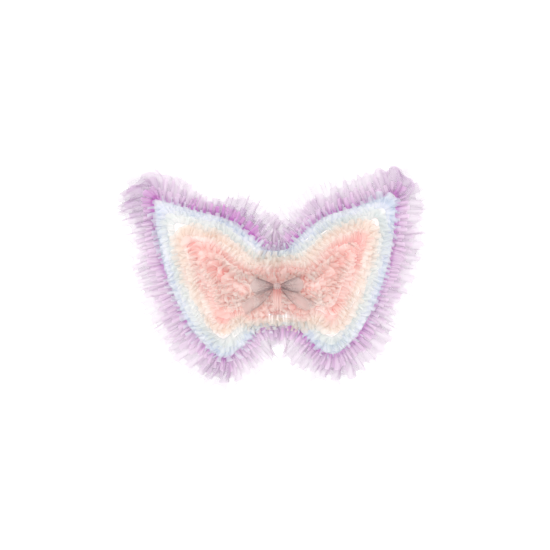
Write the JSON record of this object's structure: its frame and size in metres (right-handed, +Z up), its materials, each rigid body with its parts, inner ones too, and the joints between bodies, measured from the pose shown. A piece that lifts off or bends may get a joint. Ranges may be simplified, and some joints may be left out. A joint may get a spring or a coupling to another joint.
{
  "type": "fairy wings",
  "caption": "Butterfly-shaped dress-up wings of gathered tulle rows on two hinged wire loops, with a sewn centre pad, a ribbon bow and elastic arm loops",
  "frame": {"origin": "centre of the bow's height on the back face of the pad, which lies between the wearer's shoulder blades", "axes": "+X along the span, to the right when the ruffled front is seen; +Y towards the wearer, out of the pad's back face; +Z up, towards the wing tips"},
  "size_m": [0.6094, 0.1091, 0.4453],
  "materials": {
    "felt": "matte",
    "wadding": "matte",
    "tape": "matte",
    "elastic": "matte",
    "thread": "satin",
    "lilac_tulle": "satin",
    "blue_tulle": "satin",
    "cream_tulle": "satin",
    "peach_tulle": "satin",
    "pink_tulle": "satin",
    "ribbon": "satin",
    "wire": "drawn",
    "ferrule": "satin",
    "bias_tape": "matte",
    "net": "matte"
  },
  "bodies": {
    "root": {"back_patch": "felt", "front_patch": "felt", "pad_filling": "wadding", "wire_channel_left": "tape", "wire_channel_right": "tape", "strap_ends": "elastic", "bar_tacks": "thread", "lilac_centre": "lilac_tulle", "blue_centre": "blue_tulle", "cream_centre": "cream_tulle", "peach_centre": "peach_tulle", "pink_centre": "pink_tulle", "bow_knot": "ribbon"},
    "wing_left": {"wire_frame_left": "wire", "wire_ferrule_left": "ferrule", "wire_casing_left": "bias_tape", "wing_net_left": "net", "lilac_edge_left": "lilac_tulle", "blue_ruffle_left": "blue_tulle", "cream_ruffle_left": "cream_tulle", "peach_ruffle_left": "peach_tulle", "pink_outer_left": "pink_tulle", "pink_middle_left": "pink_tulle", "pink_inner_left": "pink_tulle"},
    "bow_left": {"bow_loop_left": "ribbon", "bow_tail_left": "ribbon"},
    "strap_left": {"arm_strap_left": "elastic"},
    "wing_right": {"wire_frame_right": "wire", "wire_ferrule_right": "ferrule", "wire_casing_right": "bias_tape", "wing_net_right": "net", "lilac_edge_right": "lilac_tulle", "blue_ruffle_right": "blue_tulle", "cream_ruffle_right": "cream_tulle", "peach_ruffle_right": "peach_tulle", "pink_outer_right": "pink_tulle", "pink_middle_right": "pink_tulle", "pink_inner_right": "pink_tulle"},
    "bow_right": {"bow_loop_right": "ribbon", "bow_tail_right": "ribbon"},
    "strap_right": {"arm_strap_right": "elastic"}
  },
  "joints": [
    {"name": "wing_left_hinge", "type": "hinge", "parent": "root", "child": "wing_left", "pos_m": [-0.014, -0.00456, 0], "axis": [0, 0, 1], "range_deg": [-15, 50]},
    {"name": "bow_left_turn", "type": "hinge", "parent": "root", "child": "bow_left", "pos_m": [-0.007, -0.02696, 0], "axis": [0, 0, 1], "range_deg": [-15, 50]},
    {"name": "strap_left_swing", "type": "hinge", "parent": "root", "child": "strap_left", "pos_m": [-0.0053, -0.00456, 0], "axis": [0, 0, 1], "range_deg": [-18, 35]},
    {"name": "wing_right_hinge", "type": "hinge", "parent": "root", "child": "wing_right", "pos_m": [0.014, -0.00456, 0], "axis": [0, 0, -1], "range_deg": [-15, 50]},
    {"name": "bow_right_turn", "type": "hinge", "parent": "root", "child": "bow_right", "pos_m": [0.007, -0.02696, 0], "axis": [0, 0, -1], "range_deg": [-15, 50]},
    {"name": "strap_right_swing", "type": "hinge", "parent": "root", "child": "strap_right", "pos_m": [0.0053, -0.00456, 0], "axis": [0, 0, -1], "range_deg": [-18, 35]}
  ],
  "couplings": [
    {"joint": "bow_left_turn", "follows": "wing_left_hinge", "ratio": 1},
    {"joint": "bow_right_turn", "follows": "wing_right_hinge", "ratio": 1}
  ]
}
